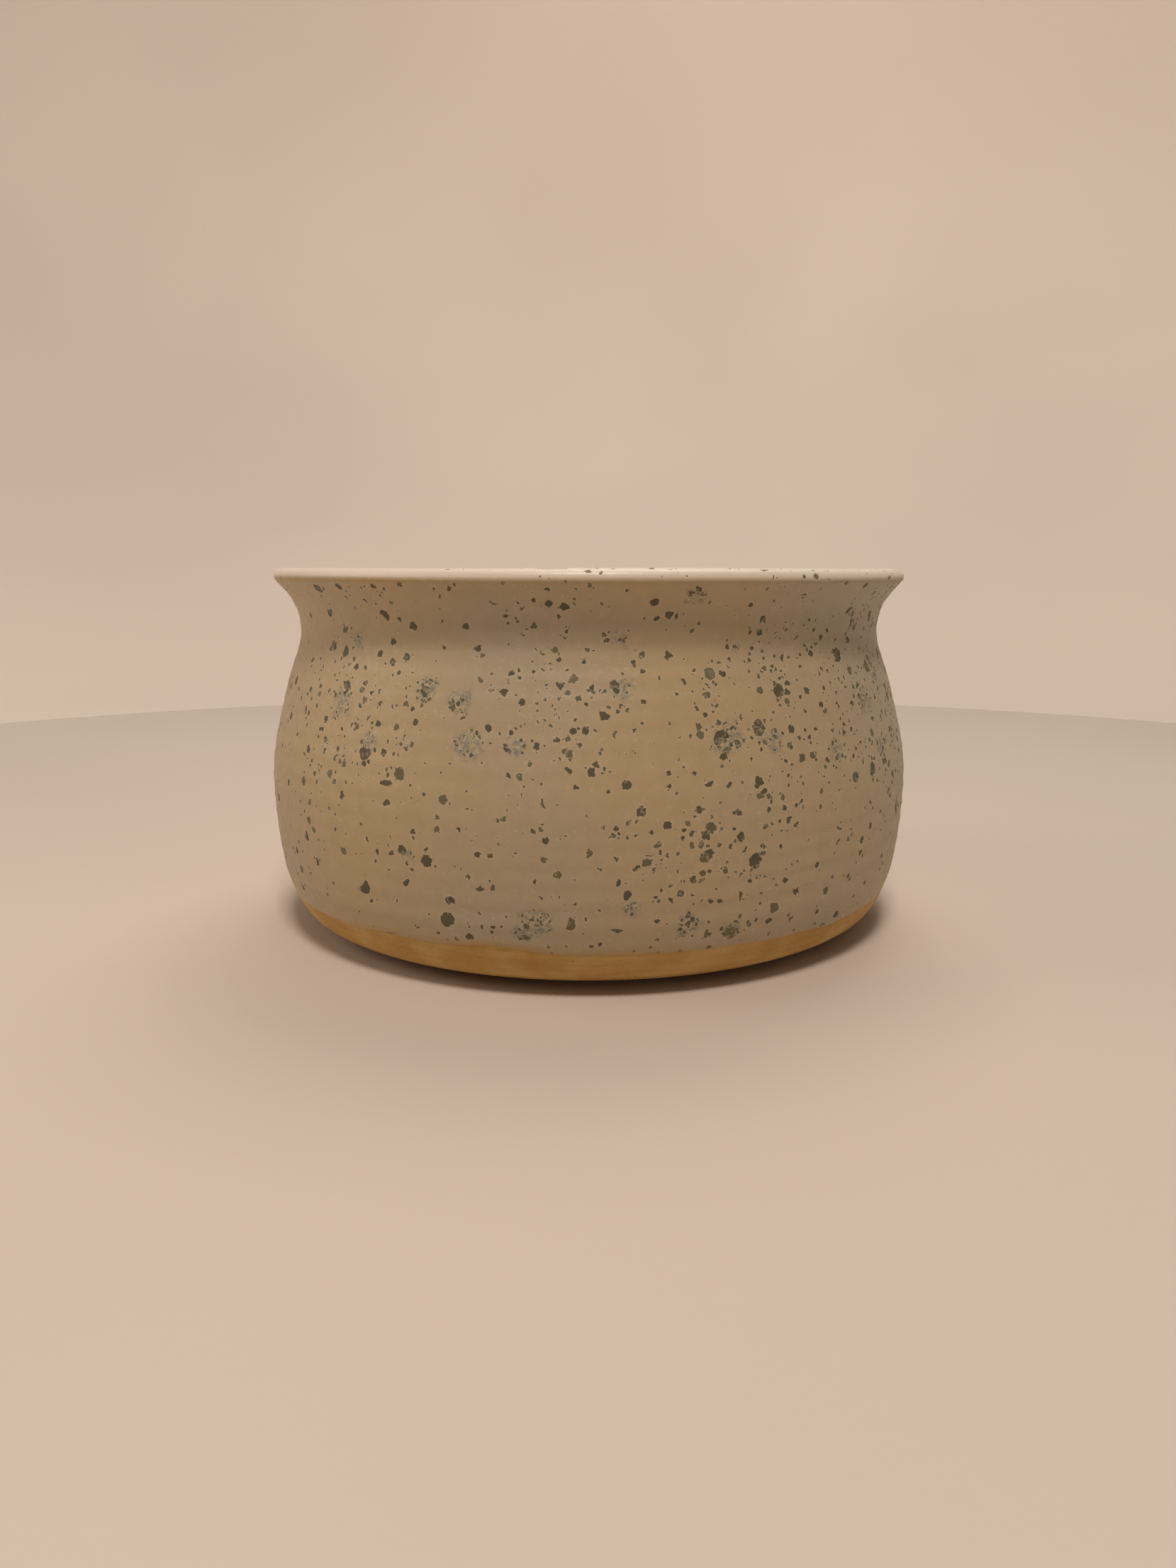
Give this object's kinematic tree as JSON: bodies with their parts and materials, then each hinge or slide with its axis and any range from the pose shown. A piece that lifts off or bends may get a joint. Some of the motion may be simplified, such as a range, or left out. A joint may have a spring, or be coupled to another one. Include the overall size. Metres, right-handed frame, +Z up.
{
  "type": "yarn bowl",
  "caption": "Hand-thrown stoneware yarn bowl with a flared rim, full belly, speckled glaze over bare clay foot, and a curled yarn slot cut down from the rim.",
  "frame": {"origin": "centre of the foot ring, on the surface that the bowl stands on", "axes": "+Z up out of the bowl's mouth; +Y towards the yarn slot, so the side seen in the picture faces -Y"},
  "size_m": [0.153, 0.153, 0.084],
  "materials": {
    "bare_clay": "matt unglazed stoneware, turned",
    "speckled_glaze": "satin-matt cream glaze with dark specks",
    "liner_glaze": "satin-matt cream glaze"
  },
  "bodies": {
    "root": {"stoneware_body": "bare_clay", "outer_glaze": "speckled_glaze", "liner_glaze": "liner_glaze"}
  },
  "joints": []
}
